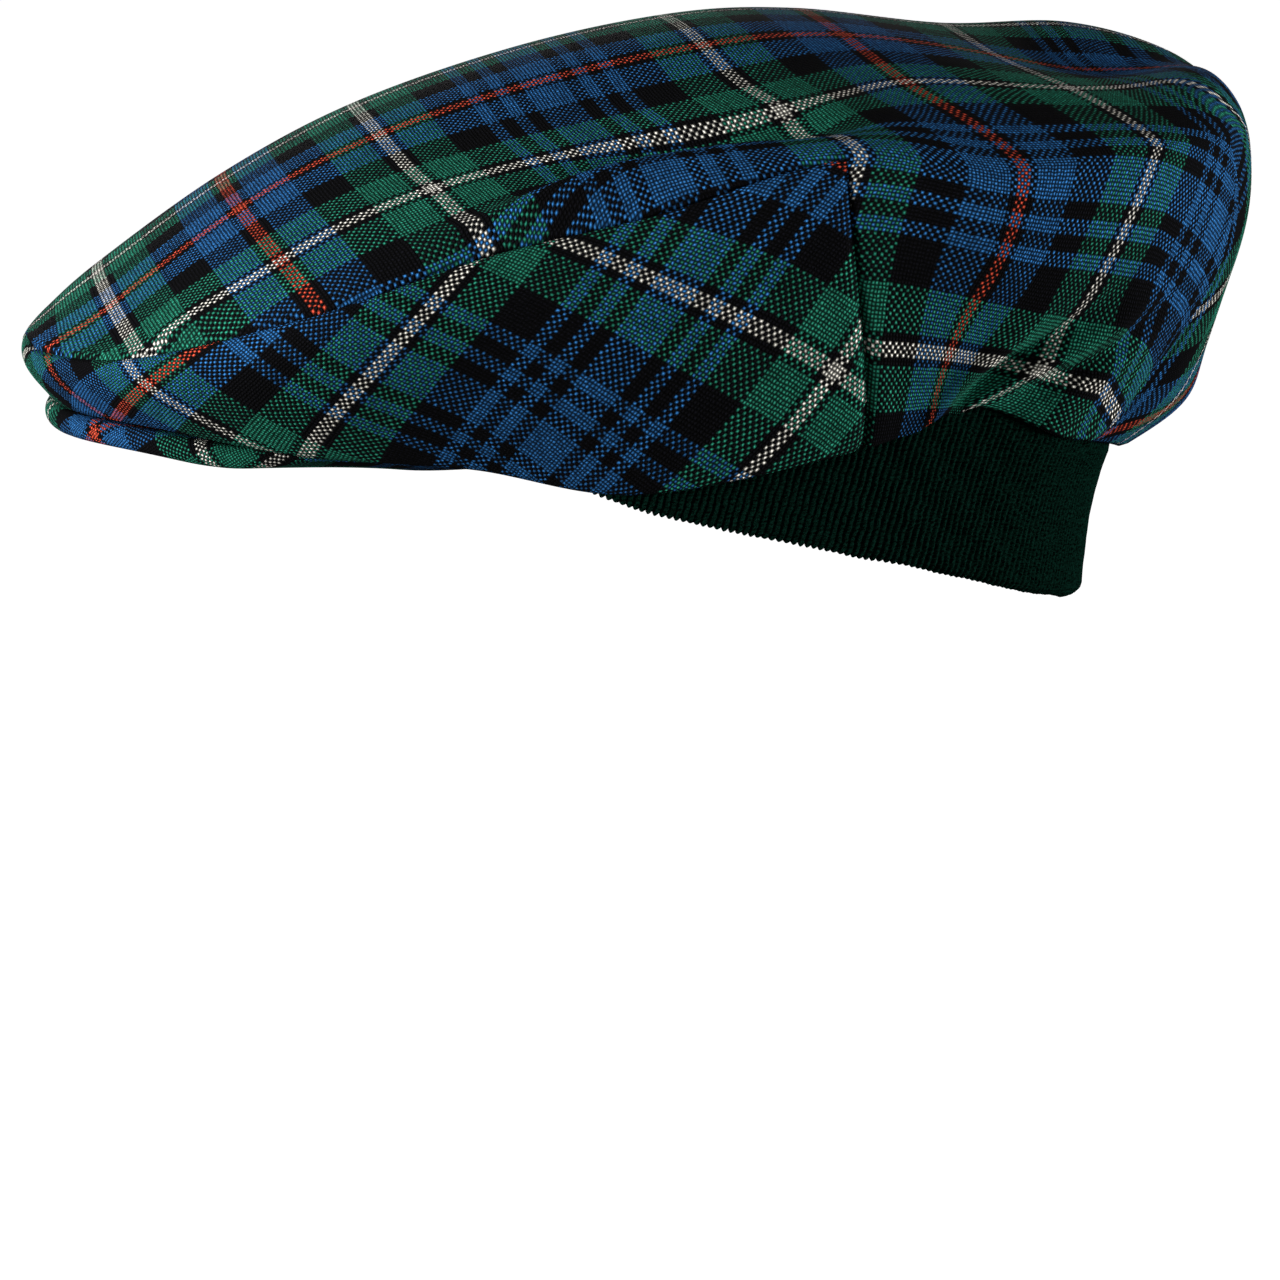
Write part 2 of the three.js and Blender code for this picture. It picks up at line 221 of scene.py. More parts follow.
sections = np.linspace(0, UPRIGHT_SEAM, FRONT_STEPS + 1)
sections = np.concatenate([sections, np.linspace(UPRIGHT_SEAM, DART, WING_STEPS + 1)[1:],
                           np.linspace(DART, LAST, BACK_STEPS + 1)[1:]])
dart_row = FRONT_STEPS + WING_STEPS
half = 1 - (1 - np.linspace(0, 1, ACROSS_STEPS + 1)) ** CROWDING
across = np.concatenate([-half[:0:-1], half])
top_s, top_w = np.meshgrid(sections, across, indexing="ij")
side_s, side_q = np.meshgrid(sections, np.linspace(0, 1, DOWN_STEPS + 1), indexing="ij")
tuck = DART_TUCK * bell((side_s - DART) / DART_REACH) * ease(DART_TOP, GATHER_FULL, side_q)
near_side = side_surface(side_s, side_q) - outward(crown_at(side_s)) * tuck[..., None]
crown = np.concatenate([(near_side * MIRROR)[:, ::-1], top_surface(top_s, top_w), near_side], 1)
far_edge = DOWN_STEPS + 1
near_edge = far_edge + 2 * ACROSS_STEPS

# Radius by which the cloth turns over the edge, in mm at given sections, and how many radii the turn reaches.
EDGE_SOFTNESS = np.array([[0, 3.5], [2, 3.0], [3, 2.6], [5, 3.2], [6, 3.6], [7, 5.0], [11, 5.0]])
SOFT_REACH = 2.5


def rounded(points, radius):
    """Rounds each row where it turns over the edge: bell-weighted mean along the row, fading away from it."""
    along = lengths(points, 1)
    share = np.gradient(along, axis=1)[:, None, :]
    kernel = bell((along[:, :, None] - along[:, None, :]) / radius[:, None, None]) * share
    soft = (kernel @ points) / np.maximum(kernel.sum(2, keepdims=True), TINY)
    gap = np.minimum(np.abs(along - along[:, [far_edge]]), np.abs(along - along[:, [near_edge]]))
    return points + bell(gap / (SOFT_REACH * radius[:, None]))[..., None] * (soft - points)


crown = rounded(crown, np.interp(sections, *EDGE_SOFTNESS.T))

# Seams press the cloth in along a line, and the topstitch presses a finer groove beside the seam of the top.
# The hem turns in a little at its end. All in millimetres, the fades in sections.
SEAM_DEPTH = 1.25
SEAM_REACH = 0.9
STITCH_INSET = 2.6           # topstitch groove above the seam
STITCH_DEPTH = 0.35
STITCH_REACH = 0.6
HEM_TURN = 0.5
HEM_REACH = 0.9
UPRIGHT_START = 4.0          # the upright seam deepens over its first millimetres
SEAM_FADE = 0.05             # end of the top's seam at the upright seam
TIP_FADE = 0.3               # its start at the front tip
CROWN_MIDDLE = np.array([0, -10, 30])
along = lengths(crown, 1)
beyond = np.maximum(along - along[:, [near_edge]], along[:, [far_edge]] - along)
row_section = sections[:, None]
front = ease(UPRIGHT_SEAM + SEAM_FADE, UPRIGHT_SEAM - SEAM_FADE, row_section) * ease(0, TIP_FADE, row_section)
depth = front * SEAM_DEPTH * bell(beyond / SEAM_REACH)
depth += front * STITCH_DEPTH * bell((beyond + STITCH_INSET) / STITCH_REACH)
from_upright = lengths(crown, 0)
from_upright = from_upright - from_upright[[FRONT_STEPS]]
depth += SEAM_DEPTH * bell(from_upright / SEAM_REACH) * ease(0, UPRIGHT_START, beyond)
depth += HEM_TURN * bell(np.minimum(along, along[:, [-1]] - along) / HEM_REACH)
facing = normals(crown)
facing *= np.sign(((crown - CROWN_MIDDLE) * facing).sum(-1, keepdims=True))
crown = crown - facing * depth[..., None]

# Tartan thread counts. Lengthwise threads are counted across from the middle white line, crosswise threads
# from the white line near the lip. For each section: crosswise count; threads by which the middle white line
# lies off the centre to the cap's left; share of the width where the red and the second white lengthwise
# lines run; lengthwise and crosswise counts at the edge.
TOP_THREADS = np.array([
    [-31, 0, 2.00, 3.90, 0, -31],
    [-20, 18, 1.00, 1.95, 44, -20],
    [0, 22, 0.632, 1.02, 86, 0],
    [44, 21, 0.452, 0.788, 115, 44],
    [88, 12, 0.424, 0.755, 121, 88],
    [141, 9, 0.430, 0.806, 145, 131],
    [192, 8, 0.428, 0.815, 141, 184],
    [231, 8, 0.395, 0.675, 137, 227],
    [276, 8, 0.440, 0.735, 128, 276],
    [324, 8, 0.440, 0.745, 108, 324],
    [350, 8, 0.400, 0.710, 57, 350],
    [372, 0, 0.390, 0.700, 0, 372],
])
RED_COUNT = 44               # lengthwise count of the red line
WHITE_COUNT = 88             # and of the second white line
EDGE_DRAW = 0.9              # share of the width by which the counts start to be drawn to the edge's
EVEN_BACK = (8.5, 9.6)       # sections over which the counts turn even
TAKE_UP = (4, 6)             # sections over which the far wing takes up the threads off the centre


def with_ghosts(rows):
    """Table rows with one ghost row before and after them, carried on straight."""
    return np.vstack([2 * rows[0] - rows[1], rows, 2 * rows[-1] - rows[-2]])


top_thread_rows = with_ghosts(TOP_THREADS)


def top_threads(section, across):
    """Thread counts on the top: a parabola from the spine through the red and the white line, plus what is
    tucked and drawn back between the white line and the edge, and even counts over the back; mirrored to the
    far side, where the wings take up the threads off the centre."""
    values = np.moveaxis(through_rows(top_thread_rows, section), -1, 0)
    crosswise, off_centre, red, white, edge, edge_crosswise = values

    def parabola(share):
        first = (RED_COUNT + off_centre) / red
        bend = ((WHITE_COUNT + off_centre) / white - first) / (white - red)
        return -off_centre + share * (first + bend * (share - red))

    share = np.abs(across)
    rolled = ease(np.minimum(white, EDGE_DRAW), 1, share)
    count = parabola(share) + (edge - parabola(1.0)) * rolled
    count += ease(*EVEN_BACK, section) * (-off_centre + share * (edge + off_centre) - count)
    far = -count - 2 * off_centre * (1 - share * ease(*TAKE_UP, section))
    return np.stack([np.where(across < 0, far, count), crosswise + (edge_crosswise - crosswise) * rolled], -1)


# Thread counts on the wings and the back, half-way down and at the hem: section, two lengthwise counts, two
# crosswise counts. The dart takes up the threads between the gathered wing and the back.
WING_THREADS = np.array([
    [6.00, 181, 214, 198, 201],
    [6.48, 176, 210, 220, 232],
    [6.86, 172, 206, 237, 276],
    [7.20, 169, 205, 255, 283],
    [8.00, 166, 205, 303, 297],
    [8.85, 152, 196, 345, 316],
])
BACK_THREADS = np.array([
    [8.85, 126, 120, 372, 424],
    [9.00, 115, 108, 376, 428],
    [10.0, 60, 56, 400, 440],
    [11.0, 0, 0, 415, 455],
])


def down_threads(values, down):
    """Thread counts down a panel: a parabola through the counts at the edge, half-way and at the hem."""
    counts = []
    for start, middle, end in (values[:3], values[3:]):
        slope = 4 * middle - 3 * start - end
        bend = start + end - 2 * middle
        counts.append(start + down * slope + 2 * down ** 2 * bend)
    return np.stack(counts, -1)


WELD = 2e-5                  # metres within which points of two grids become one
SLIVER = 1e-6                # metres below which an edge is dissolved


def cloth_object(name, patches, thickness):
    """Mesh of several grids of points (mm) with thread counts as UVs, welded along shared edges, with walls
    added inwards."""
    points, faces, threads = [], [], []
    start = 0
    for place, count in patches:
        rows, columns = place.shape[:2]
        i, j = np.meshgrid(np.arange(rows - 1), np.arange(columns - 1), indexing="ij")
        first = (start + i * columns + j).ravel()
        faces.append(np.stack([first, first + 1, first + columns + 1, first + columns], -1))
        points.append(place.reshape(-1, 3) * MM)
        threads.append(count.reshape(-1, 2))
        start += rows * columns
    points, faces, threads = np.concatenate(points), np.concatenate(faces), np.concatenate(threads)
    mesh = bpy.data.meshes.new(name)
    mesh.from_pydata(points, [], faces.tolist())
    layer = mesh.uv_layers.new(name="threads")
    layer.data.foreach_set("uv", threads[faces.ravel()].ravel())
    work = bmesh.new()
    work.from_mesh(mesh)
    bmesh.ops.remove_doubles(work, verts=work.verts, dist=WELD)
    bmesh.ops.dissolve_degenerate(work, edges=work.edges, dist=SLIVER)
    work.to_mesh(mesh)
    work.free()
    mesh.polygons.foreach_set("use_smooth", np.ones(len(mesh.polygons), bool))
    piece = bpy.data.objects.new(name, mesh)
    bpy.context.scene.collection.objects.link(piece)
    if thickness:
        wall = piece.modifiers.new("wall", "SOLIDIFY")
        wall.thickness = thickness * MM
        wall.offset = -1
        wall.use_rim = True
    return piece


front_rows = slice(0, FRONT_STEPS + 1)
wing_rows = slice(FRONT_STEPS, dart_row + 1)
back_rows = slice(dart_row, None)
top_columns = slice(far_edge, near_edge + 1)
top_counts = top_threads(top_s, top_w)
top_patches = [(crown[front_rows, top_columns], top_counts[front_rows])]
for rows, table in ((wing_rows, WING_THREADS), (back_rows, BACK_THREADS)):
    half_length, hem_length, half_cross, hem_cross = (
        np.interp(side_s[rows], table[:, 0], column) for column in table.T[1:])
    edge_length, edge_cross = np.moveaxis(top_counts[rows, -1:], -1, 0)
    wing = down_threads(
        [edge_length, half_length, hem_length, edge_cross, half_cross, hem_cross], side_q[rows])
    far_wing = (wing * [-1, 1])[:, ::-1]
    top_patches.append((crown[rows], np.concatenate([far_wing, top_counts[rows], wing], 1)))
crown_top = cloth_object("crown_top_cloth", top_patches, CLOTH)
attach(crown_top, "root")
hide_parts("crown_top")

# Tartan cloth
# Plain-woven wool in a mirrored sett of blue, black, green, white and red; the same sett runs both ways, so
# each square shows the lengthwise colour on half of its crossings and the crosswise colour on the other half.
SETT = [("red", 2), ("black", 2), ("blue", 12), ("black", 12), ("green", 12), ("black", 2), ("white", 4),
        ("black", 2), ("green", 12), ("black", 12), ("blue", 4), ("black", 4), ("blue", 4), ("black", 4),
        ("blue", 6)]
WOOL = {
    "red": (0.62, 0.075, 0.038),
    "black": (0.0025, 0.0025, 0.004),
    "blue": (0.024, 0.135, 0.360),
    "green": (0.019, 0.200, 0.126),
    "white": (0.78, 0.75, 0.67),
}
HALF_SETT = float(sum(count for _, count in SETT))

# Light and shade of one crossing of the weave, as shares of the wool's colour.
BETWEEN_TONE = 0.08          # between the threads
ROUND_TONE = 0.9             # gained up the round of a thread
ROUND_POWER = 1.4
GLINT_TONE = 1.2             # gained at the very crown of a thread
GLINT_POWER = 6.0
LENGTHWISE_TONE = 1.10       # lengthwise threads lie proud
CROSSWISE_LOSS = -0.30       # and crosswise threads deeper
LEAST_TONE = 0.7             # each crossing has a tone of its own, from this
TONE_RANGE = 0.6             # over this range
EVEN_OFFSET = 4096.0         # keeps the count of a crossing above zero


def new_group(name, inputs, outputs):
    """Empty shader node group with named float inputs and typed outputs."""
    group = bpy.data.node_groups.new(name, "ShaderNodeTree")
    for label in inputs:
        group.interface.new_socket(label, in_out="INPUT", socket_type="NodeSocketFloat")
    for label, kind in outputs:
        group.interface.new_socket(label, in_out="OUTPUT", socket_type=kind)
    return group, group.nodes.new("NodeGroupInput"), group.nodes.new("NodeGroupOutput")


def math_node(tree, operation, *values):
    """Math node fed by sockets or numbers; returns its output."""
    node = tree.nodes.new("ShaderNodeMath")
    node.operation = operation
    for k, value in enumerate(values):
        if isinstance(value, (int, float)):
            node.inputs[k].default_value = value
        else:
            tree.links.new(value, node.inputs[k])
    return node.outputs[0]


def noise_node(tree, vector, scale, detail):
    """Noise texture on a vector; returns its value, 0 to 1."""
    node = tree.nodes.new("ShaderNodeTexNoise")
    node.inputs["Scale"].default_value = scale
    node.inputs["Detail"].default_value = detail
    tree.links.new(vector, node.inputs["Vector"])
    return node.outputs["Fac"]


def sett_group():
    """Colour of the thread with a given count: folded at the pivots, then a ramp of plain stripes."""
    group, entry, result = new_group("sett", ["Thread"], [("Color", "NodeSocketColor")])
    middle = math_node(group, "ADD", math_node(group, "FLOOR", entry.outputs["Thread"]), 0.5)
    shifted = math_node(group, "SUBTRACT", middle, RED_COUNT)
    folded = math_node(group, "PINGPONG", shifted, HALF_SETT)
    ramp = group.nodes.new("ShaderNodeValToRGB")
    ramp.color_ramp.interpolation = "CONSTANT"
    stops = ramp.color_ramp.elements
    start = 0
    for k, (colour, count) in enumerate(SETT):
        stop = stops[k] if k < 2 else stops.new(start / HALF_SETT)
        stop.position = start / HALF_SETT
        stop.color = (*WOOL[colour], 1)
        start += count
    group.links.new(math_node(group, "DIVIDE", folded, HALF_SETT), ramp.inputs["Fac"])
    group.links.new(ramp.outputs["Color"], result.inputs["Color"])
    return group


def weave_group(sett):
    """Plain weave from thread counts: the lengthwise thread is on top where the two counts add to an even
    number. The upper thread is round across its width and bows over the thread that it crosses, as a height.
    Its colour has painted shade from its crown down to the gaps, a painted highlight at its crown and more
    painted shade on the deeper crosswise threads. Each crossing has a tone of its own."""
    group, entry, result = new_group(
        "tartan_weave", ["Lengthwise", "Crosswise"],
        [("Color", "NodeSocketColor"), ("Height", "NodeSocketFloat"), ("Light_And_Tone", "NodeSocketFloat")])
    colours, whole, rounds = [], [], []
    for count in (entry.outputs["Lengthwise"], entry.outputs["Crosswise"]):
        node = group.nodes.new("ShaderNodeGroup")
        node.node_tree = sett
        group.links.new(count, node.inputs["Thread"])
        colours.append(node.outputs["Color"])
        whole.append(math_node(group, "FLOOR", count))
        inside = math_node(group, "FRACT", count)
        rounds.append(math_node(group, "SINE", math_node(group, "MULTIPLY", inside, math.pi)))
    total = math_node(group, "ADD", whole[0], whole[1])
    over = math_node(group, "MODULO", math_node(group, "ADD", total, EVEN_OFFSET), 2.0)
    mix = group.nodes.new("ShaderNodeMix")
    mix.data_type = "RGBA"
    group.links.new(over, mix.inputs["Factor"])
    group.links.new(colours[0], mix.inputs["A"])
    group.links.new(colours[1], mix.inputs["B"])
    crossing = group.nodes.new("ShaderNodeCombineXYZ")
    group.links.new(whole[0], crossing.inputs["X"])
    group.links.new(whole[1], crossing.inputs["Y"])
    chance = group.nodes.new("ShaderNodeTexWhiteNoise")
    chance.noise_dimensions = "2D"
    group.links.new(crossing.outputs["Vector"], chance.inputs["Vector"])
    # Painted shade from each thread's crown down to the gaps, a painted highlight on the crown and painted
    # shade on the deeper crosswise threads, then each crossing's own tone.
    height = math_node(group, "MULTIPLY", rounds[0], rounds[1])
    swell = math_node(group, "POWER", height, ROUND_POWER)
    shade = math_node(group, "MULTIPLY_ADD", swell, ROUND_TONE, BETWEEN_TONE)
    glint = math_node(group, "POWER", height, GLINT_POWER)
    shade = math_node(group, "MULTIPLY_ADD", glint, GLINT_TONE, shade)
    proud = math_node(group, "MULTIPLY_ADD", over, CROSSWISE_LOSS, LENGTHWISE_TONE)
    shade = math_node(group, "MULTIPLY", shade, proud)
    own_tone = math_node(group, "MULTIPLY_ADD", chance.outputs["Value"], TONE_RANGE, LEAST_TONE)
    shaded_tone = math_node(group, "MULTIPLY", shade, own_tone)
    group.links.new(mix.outputs["Result"], result.inputs["Color"])
    group.links.new(height, result.inputs["Height"])
    group.links.new(shaded_tone, result.inputs["Light_And_Tone"])
    return group


tartan_weave = weave_group(sett_group())
THREAD_WANDER = 0.7          # how far a thread wanders, in threads
WANDER_SCALE = {"Lengthwise": 0.55, "Crosswise": 0.47}
PATCH_SCALE = 0.08           # patches of wear, about a dozen threads wide
PATCH_RANGE = 0.7
PATCH_LEAST = 0.65
WEAVE_RELIEF = 0.35 * MM
WEAVE_BUMP = 0.6
WOOL_ROUGHNESS = 0.9
WOOL_SPECULAR = 0.06


def tartan_material(name):
    """Wool tartan: sett colours in a plain weave of slightly uneven threads, with painted shade between the
    threads and a painted highlight on their crowns, patchy wear and a dry nap."""
    material = bpy.data.materials.new(name)
    material.use_nodes = True
    tree = material.node_tree
    nodes, links = tree.nodes, tree.links
    shader = nodes["Principled BSDF"]
    shader.inputs["Roughness"].default_value = WOOL_ROUGHNESS
    shader.inputs["Specular IOR Level"].default_value = WOOL_SPECULAR
    uv = nodes.new("ShaderNodeUVMap")
    uv.uv_map = "threads"
    split = nodes.new("ShaderNodeSeparateXYZ")
    links.new(uv.outputs["UV"], split.inputs["Vector"])
    weave = nodes.new("ShaderNodeGroup")
    weave.node_tree = tartan_weave
    for axis, (socket, scale) in zip("XY", WANDER_SCALE.items()):
        drift = noise_node(tree, uv.outputs["UV"], scale, 1)
        wander = math_node(tree, "MULTIPLY_ADD", drift, THREAD_WANDER, -THREAD_WANDER / 2)
        links.new(math_node(tree, "ADD", split.outputs[axis], wander), weave.inputs[socket])
    wear = noise_node(tree, uv.outputs["UV"], PATCH_SCALE, 3)
    patch = math_node(tree, "MULTIPLY_ADD", wear, PATCH_RANGE, PATCH_LEAST)
    # The base colour carries the weave's painted shade and highlight, each crossing's own tone and the patchy
    # wear.
    shaded_tone = nodes.new("ShaderNodeVectorMath")
    shaded_tone.operation = "SCALE"
    links.new(weave.outputs["Color"], shaded_tone.inputs["Vector"])
    links.new(math_node(tree, "MULTIPLY", patch, weave.outputs["Light_And_Tone"]), shaded_tone.inputs["Scale"])
    links.new(shaded_tone.outputs["Vector"], shader.inputs["Base Color"])
    bump = nodes.new("ShaderNodeBump")
    bump.inputs["Strength"].default_value = WEAVE_BUMP
    bump.inputs["Distance"].default_value = WEAVE_RELIEF
    links.new(weave.outputs["Height"], bump.inputs["Height"])
    links.new(bump.outputs["Normal"], shader.inputs["Normal"])
    return material


tartan = tartan_material("tartan_cloth")
crown_top.data.materials.append(tartan)

# Side panels
# Two crescents of the same tartan, cut on the bias, from the centre front to the upright seams. Their upper
# edge is sewn under the top panel and their hem turns in over the peak and the knit band.
# Thread counts at each section, at the seam, half-way down and at the hem: three lengthwise, three crosswise.
SIDE_THREADS = np.array([
    [-206, -196, -186, -190, -203, -216],
    [-180, -170, -160, -146, -159, -172],
    [-157, -144, -133, -95, -108, -127],
    [-125, -111, -101, -48, -69, -95],
    [-97, -77, -63, -11, -42, -72],
    [-66, -42, -19, 16, -19, -45],
    [-35, -2, 26, 46, 14, -10],
])
side_thread_rows = with_ghosts(SIDE_THREADS)


def side_threads(section, down):
    """Thread counts on a side panel, by the table's curves along it and parabolas down it."""
    return down_threads(np.moveaxis(through_rows(side_thread_rows, section), -1, 0), down)


side_counts = side_threads(side_s[front_rows], side_q[front_rows])
near_columns = slice(near_edge + 1, None)
side_place = crown[front_rows, near_columns]
for name, place, counts in (
    ("side_panel_left", side_place, side_counts),
    ("side_panel_right", (side_place * MIRROR)[:, ::-1], side_counts[:, ::-1]),
):
    panel = cloth_object(f"{name}_cloth", [(place, counts)], CLOTH)
    panel.data.materials.append(tartan)
    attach(panel, "root")
    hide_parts(name)

# Peak
# A stiff board covered in the same tartan, sewn under the lip from temple to temple. Its covered edge shows
# as a thick rounded rim just past the lip, and slips behind the hem at the temples.
PEAK_END = 3.95              # section of the temple
PEAK_GAP = 0.12              # clearance under the lip
PEAK_BOARD = 4.2             # thickness at the inner edge
RIM_ROUND = 2.4              # how far the rim bulges
RIM_TALL = 5.3               # height of the rim
RIM_LOW = 3.2                # its height behind the hem
TUCKED_IN = -5.0             # rim behind the hem line
TUCKED_UP = 4.5              # and above it
DRAWN_IN = (2.3, 3.3)        # sections over which the rim draws in
RAISED = (2.5, 3.5)          # sections over which it rises
PEAK_STEPS = 90
PEAK_ACROSS = 24
RIM_STEPS = 14
# Inner edge at even steps from the centre to the temple, and how far the rim stands past the hem line.
PEAK = np.array([
    [0, -99.0, 12.4, 1.6],
    [23, -96.2, 12.0, 2.4],
    [44, -86.5, 10.6, 3.4],
    [67, -63.0, 9.0, 3.4],
    [79.5, -44.0, 10.6, 3.4],
])
# The cover is cut on a slant: threads per mm of the two thread directions along and across the rim, counted
# from the place where two red lines cross, in mm along the rim from the centre and mm past the lip.
COVER_THREADS = (1.30, 0.89)
RED_CROSSING = (54.0, 4.0)
PEAK_ROWS = np.vstack([PEAK[1] * [-1, 1, 1, 1], PEAK, PEAK[-1]])


def peak_surface(section, around):
    """Closed profile of the peak: from the inner edge along the top, round the half-elliptic rim and back
    underneath; towards the temple the rim draws in, thins and rises behind the hem."""
    row = crown_at(np.abs(section))
    values = through_rows(PEAK_ROWS, np.abs(section) / PEAK_END * (len(PEAK) - 1))
    out = outward(row)
    drawn_in = ease(*DRAWN_IN, np.abs(section))[..., None]
    raised = ease(*RAISED, np.abs(section))[..., None]
    lip = np.stack([row["hem_x"], row["hem_y"], row["hem_z"]], -1) + UP * (TUCKED_UP * raised - PEAK_GAP)
    inner = values[..., :3]
    overhang = values[..., 3:] + (TUCKED_IN - values[..., 3:]) * drawn_in
    rim_height = RIM_TALL + (RIM_LOW - RIM_TALL) * drawn_in
    rim = lip + out * (overhang - RIM_ROUND)
    top_share = np.clip(around, 0, 1)[..., None]
    low_share = np.clip(around - 2, 0, 1)[..., None]
    turn = np.clip(around - 1, 0, 1)[..., None] * np.pi
    straight = inner + (rim - inner) * (top_share - low_share)
    board = PEAK_BOARD + (rim_height - PEAK_BOARD) * (top_share - low_share)
    point = straight - UP * board / 2 * (1 - np.cos(turn)) + out * RIM_ROUND * np.sin(turn)
    return point * np.stack([np.where(section < 0, -1, 1), 1 + 0 * section, 1 + 0 * section], -1)


peak_sections = np.linspace(-PEAK_END, PEAK_END, 2 * PEAK_STEPS + 1)
around = np.concatenate([np.linspace(0, 1, PEAK_ACROSS + 1), 1 + np.linspace(0, 1, RIM_STEPS + 1)[1:],
                         2 + np.linspace(0, 1, PEAK_ACROSS + 1)[1:]])
peak_place = peak_surface(*np.meshgrid(peak_sections, around, indexing="ij"))
peak_place = np.concatenate([peak_place, peak_place[:, :1]], 1)
past_lip = lengths(peak_place, 1)
past_lip = past_lip - past_lip[:, [PEAK_ACROSS]]
rim_run = lengths(peak_place[:, [PEAK_ACROSS]], 0)
rim_run = rim_run - rim_run[PEAK_STEPS] - RED_CROSSING[0] + 0 * past_lip
rim_past = past_lip - RED_CROSSING[1]
more, fewer = COVER_THREADS
peak_counts = RED_COUNT + np.stack([more * rim_run - fewer * rim_past, fewer * rim_run + more * rim_past], -1)
ends = peak_place.mean(1, keepdims=True) + 0 * peak_place
peak_place = np.concatenate([ends[:1], peak_place, ends[-1:]])
peak_counts = np.concatenate([peak_counts[:1], peak_counts, peak_counts[-1:]])
peak = cloth_object("peak_cloth", [(peak_place, peak_counts)], 0)
peak.data.materials.append(tartan)
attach(peak, "root")
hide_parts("peak")

# Knit band
# A strip of dark green rib knit, folded double with the fold at the bottom, sewn inside the hem from temple
# to temple round the back and turned down as an ear and nape flap. It curls in under the hem, and its ribs
# lean back.
KNIT = 4.4                   # thickness of the two layers
KNIT_GAP = 0.12              # clearance inside the hem
BAND_CURL = 16.0             # mm of drop over which the band curls from leaning in to hanging straight
RIB_PITCH = 1.6
RIB_HEIGHT = 0.7
RIB_SINK = 0.6               # share of the rib's height that lies below the band's surface
RIB_LEAN = 0.26              # how far a rib runs forward per mm of drop
LEAN_START = 20              # mm from the temple over which the lean begins
LEAN_END = 35                # mm from the centre back over which it ends
LOOP_LENGTH = 1.1            # mm of knit for one loop
# Each section's lower edge and upper edge, and how far the band leans in per mm of drop at the hem.
BAND = np.array([
    [4.10, 10.0, 27.0, 0.02],
    [4.60, 3.0, 25.0, 0.04],
    [5.00, -3.4, 24.0, 0.06],
    [5.50, -9.6, 24.0, 0.10],
    [6.00, -15.0, 25.0, 0.16],
    [7.00, -20.5, 27.0, 0.26],
    [8.00, -26.0, 25.0, 0.36],
    [9.00, -30.0, 21.0, 0.43],
    [10.00, -31.2, 20.0, 0.45],
    [11.00, -31.6, 20.0, 0.45],
])
# Waves of a rib, each with its size and its lengths in mm per radian up the rib and along the band: by the
# first the ribs wander sideways, in mm, except near both ends, and by the second their height varies.
RIB_WANDER = [(0.10, 1.3, 2.1), (0.10, 0.8, -3.7), (0.10, math.inf, 5.3)]
RIB_SWELL = [(0.25, 1.9, 2.7), (0.2, -2.3, 0.9)]
WANDER_END = 10
SAMPLES_PER_RIB = 6
BAND_SAMPLES = 400           # sections along which the fold's length is measured
BAND_DOWN = 16
FOLD_STEPS = 6
FOLD_MIDDLE = 1.5            # lowest place round the fold


def band_surface(section, around):
    """Doubled strip: down the outside from the top edge, round the fold at the bottom and up the inside; it
    leans in under the hem and dies out to upright by an exponential of the drop."""
    row = crown_at(section)
    low, high, lean = (np.interp(section, BAND[:, 0], BAND[:, k]) for k in (1, 2, 3))
    radius = KNIT / 2
    outer = np.clip(around, 0, 1)
    turn = np.clip(around - 1, 0, 1) * np.pi
    inner = np.clip(around - 2, 0, 1)
    base = low + radius
    z = np.where(around <= 1, high + (base - high) * outer, np.where(
        around <= 2, base - radius * np.sin(turn), base + (high - base) * inner))
    depth = radius - radius * np.cos(turn)
    below_hem = np.maximum(row["hem_z"] - z, 0)
    back = CLOTH + KNIT_GAP + lean * BAND_CURL * (1 - np.exp(-below_hem / BAND_CURL)) + depth
    return np.stack([row["hem_x"], row["hem_y"], z], -1) - outward(row) * back[..., None]


def waves(table, up, along):
    """Sum of sines of the mm up over one length plus the mm along over another, each times its size."""
    return sum(size * np.sin(up / rise + along / reach) for size, rise, reach in table)


band_around = np.concatenate([np.linspace(0, 1, BAND_DOWN + 1), 1 + np.linspace(0, 1, FOLD_STEPS + 1)[1:],
                              2 + np.linspace(0, 1, BAND_DOWN // 2 + 1)[1:]])
band_half = np.linspace(BAND[0, 0], LAST, BAND_SAMPLES)
fold_run = lengths(band_surface(band_half, FOLD_MIDDLE + 0 * band_half), 0)
rib_count = round(fold_run[-1] / RIB_PITCH)
run = np.linspace(0, fold_run[-1], rib_count * SAMPLES_PER_RIB + 1)
run, t_band = np.meshgrid(run, band_around, indexing="ij")
to_go = fold_run[-1] - run
upright_place = band_surface(np.interp(run, fold_run, band_half), t_band)
height_up = upright_place[..., 2] - upright_place[:, [BAND_DOWN], 2]
lean = RIB_LEAN * ease(0, LEAN_START, run) * ease(0, LEAN_END, to_go)
wander = waves(RIB_WANDER, height_up, run) * ease(0, WANDER_END, run) * ease(0, WANDER_END, to_go)
s_band = np.interp(run + lean * height_up + wander, fold_run, band_half)
band_place = band_surface(s_band, t_band)
rib_phase = run / fold_run[-1] * rib_count
uneven = 1 + waves(RIB_SWELL, height_up, run)
rib = RIB_HEIGHT * uneven * (np.abs(np.sin(np.pi * rib_phase)) - RIB_SINK)
facing = normals(band_place)
facing *= np.sign((facing[:, :1] * outward(crown_at(s_band[:, :1]))).sum(-1, keepdims=True))
band_place = band_place + facing * rib[..., None]
band_counts = np.stack([rib_phase, lengths(band_place, 1) / LOOP_LENGTH], -1)
full_place = np.concatenate([band_place, (band_place * MIRROR)[-2::-1]])
full_counts = np.concatenate([band_counts, (band_counts * [-1, 1])[-2::-1]])
knit_band = cloth_object("knit_band_ribs", [(full_place, full_counts)], 0)
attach(knit_band, "root")
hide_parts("knit_band")
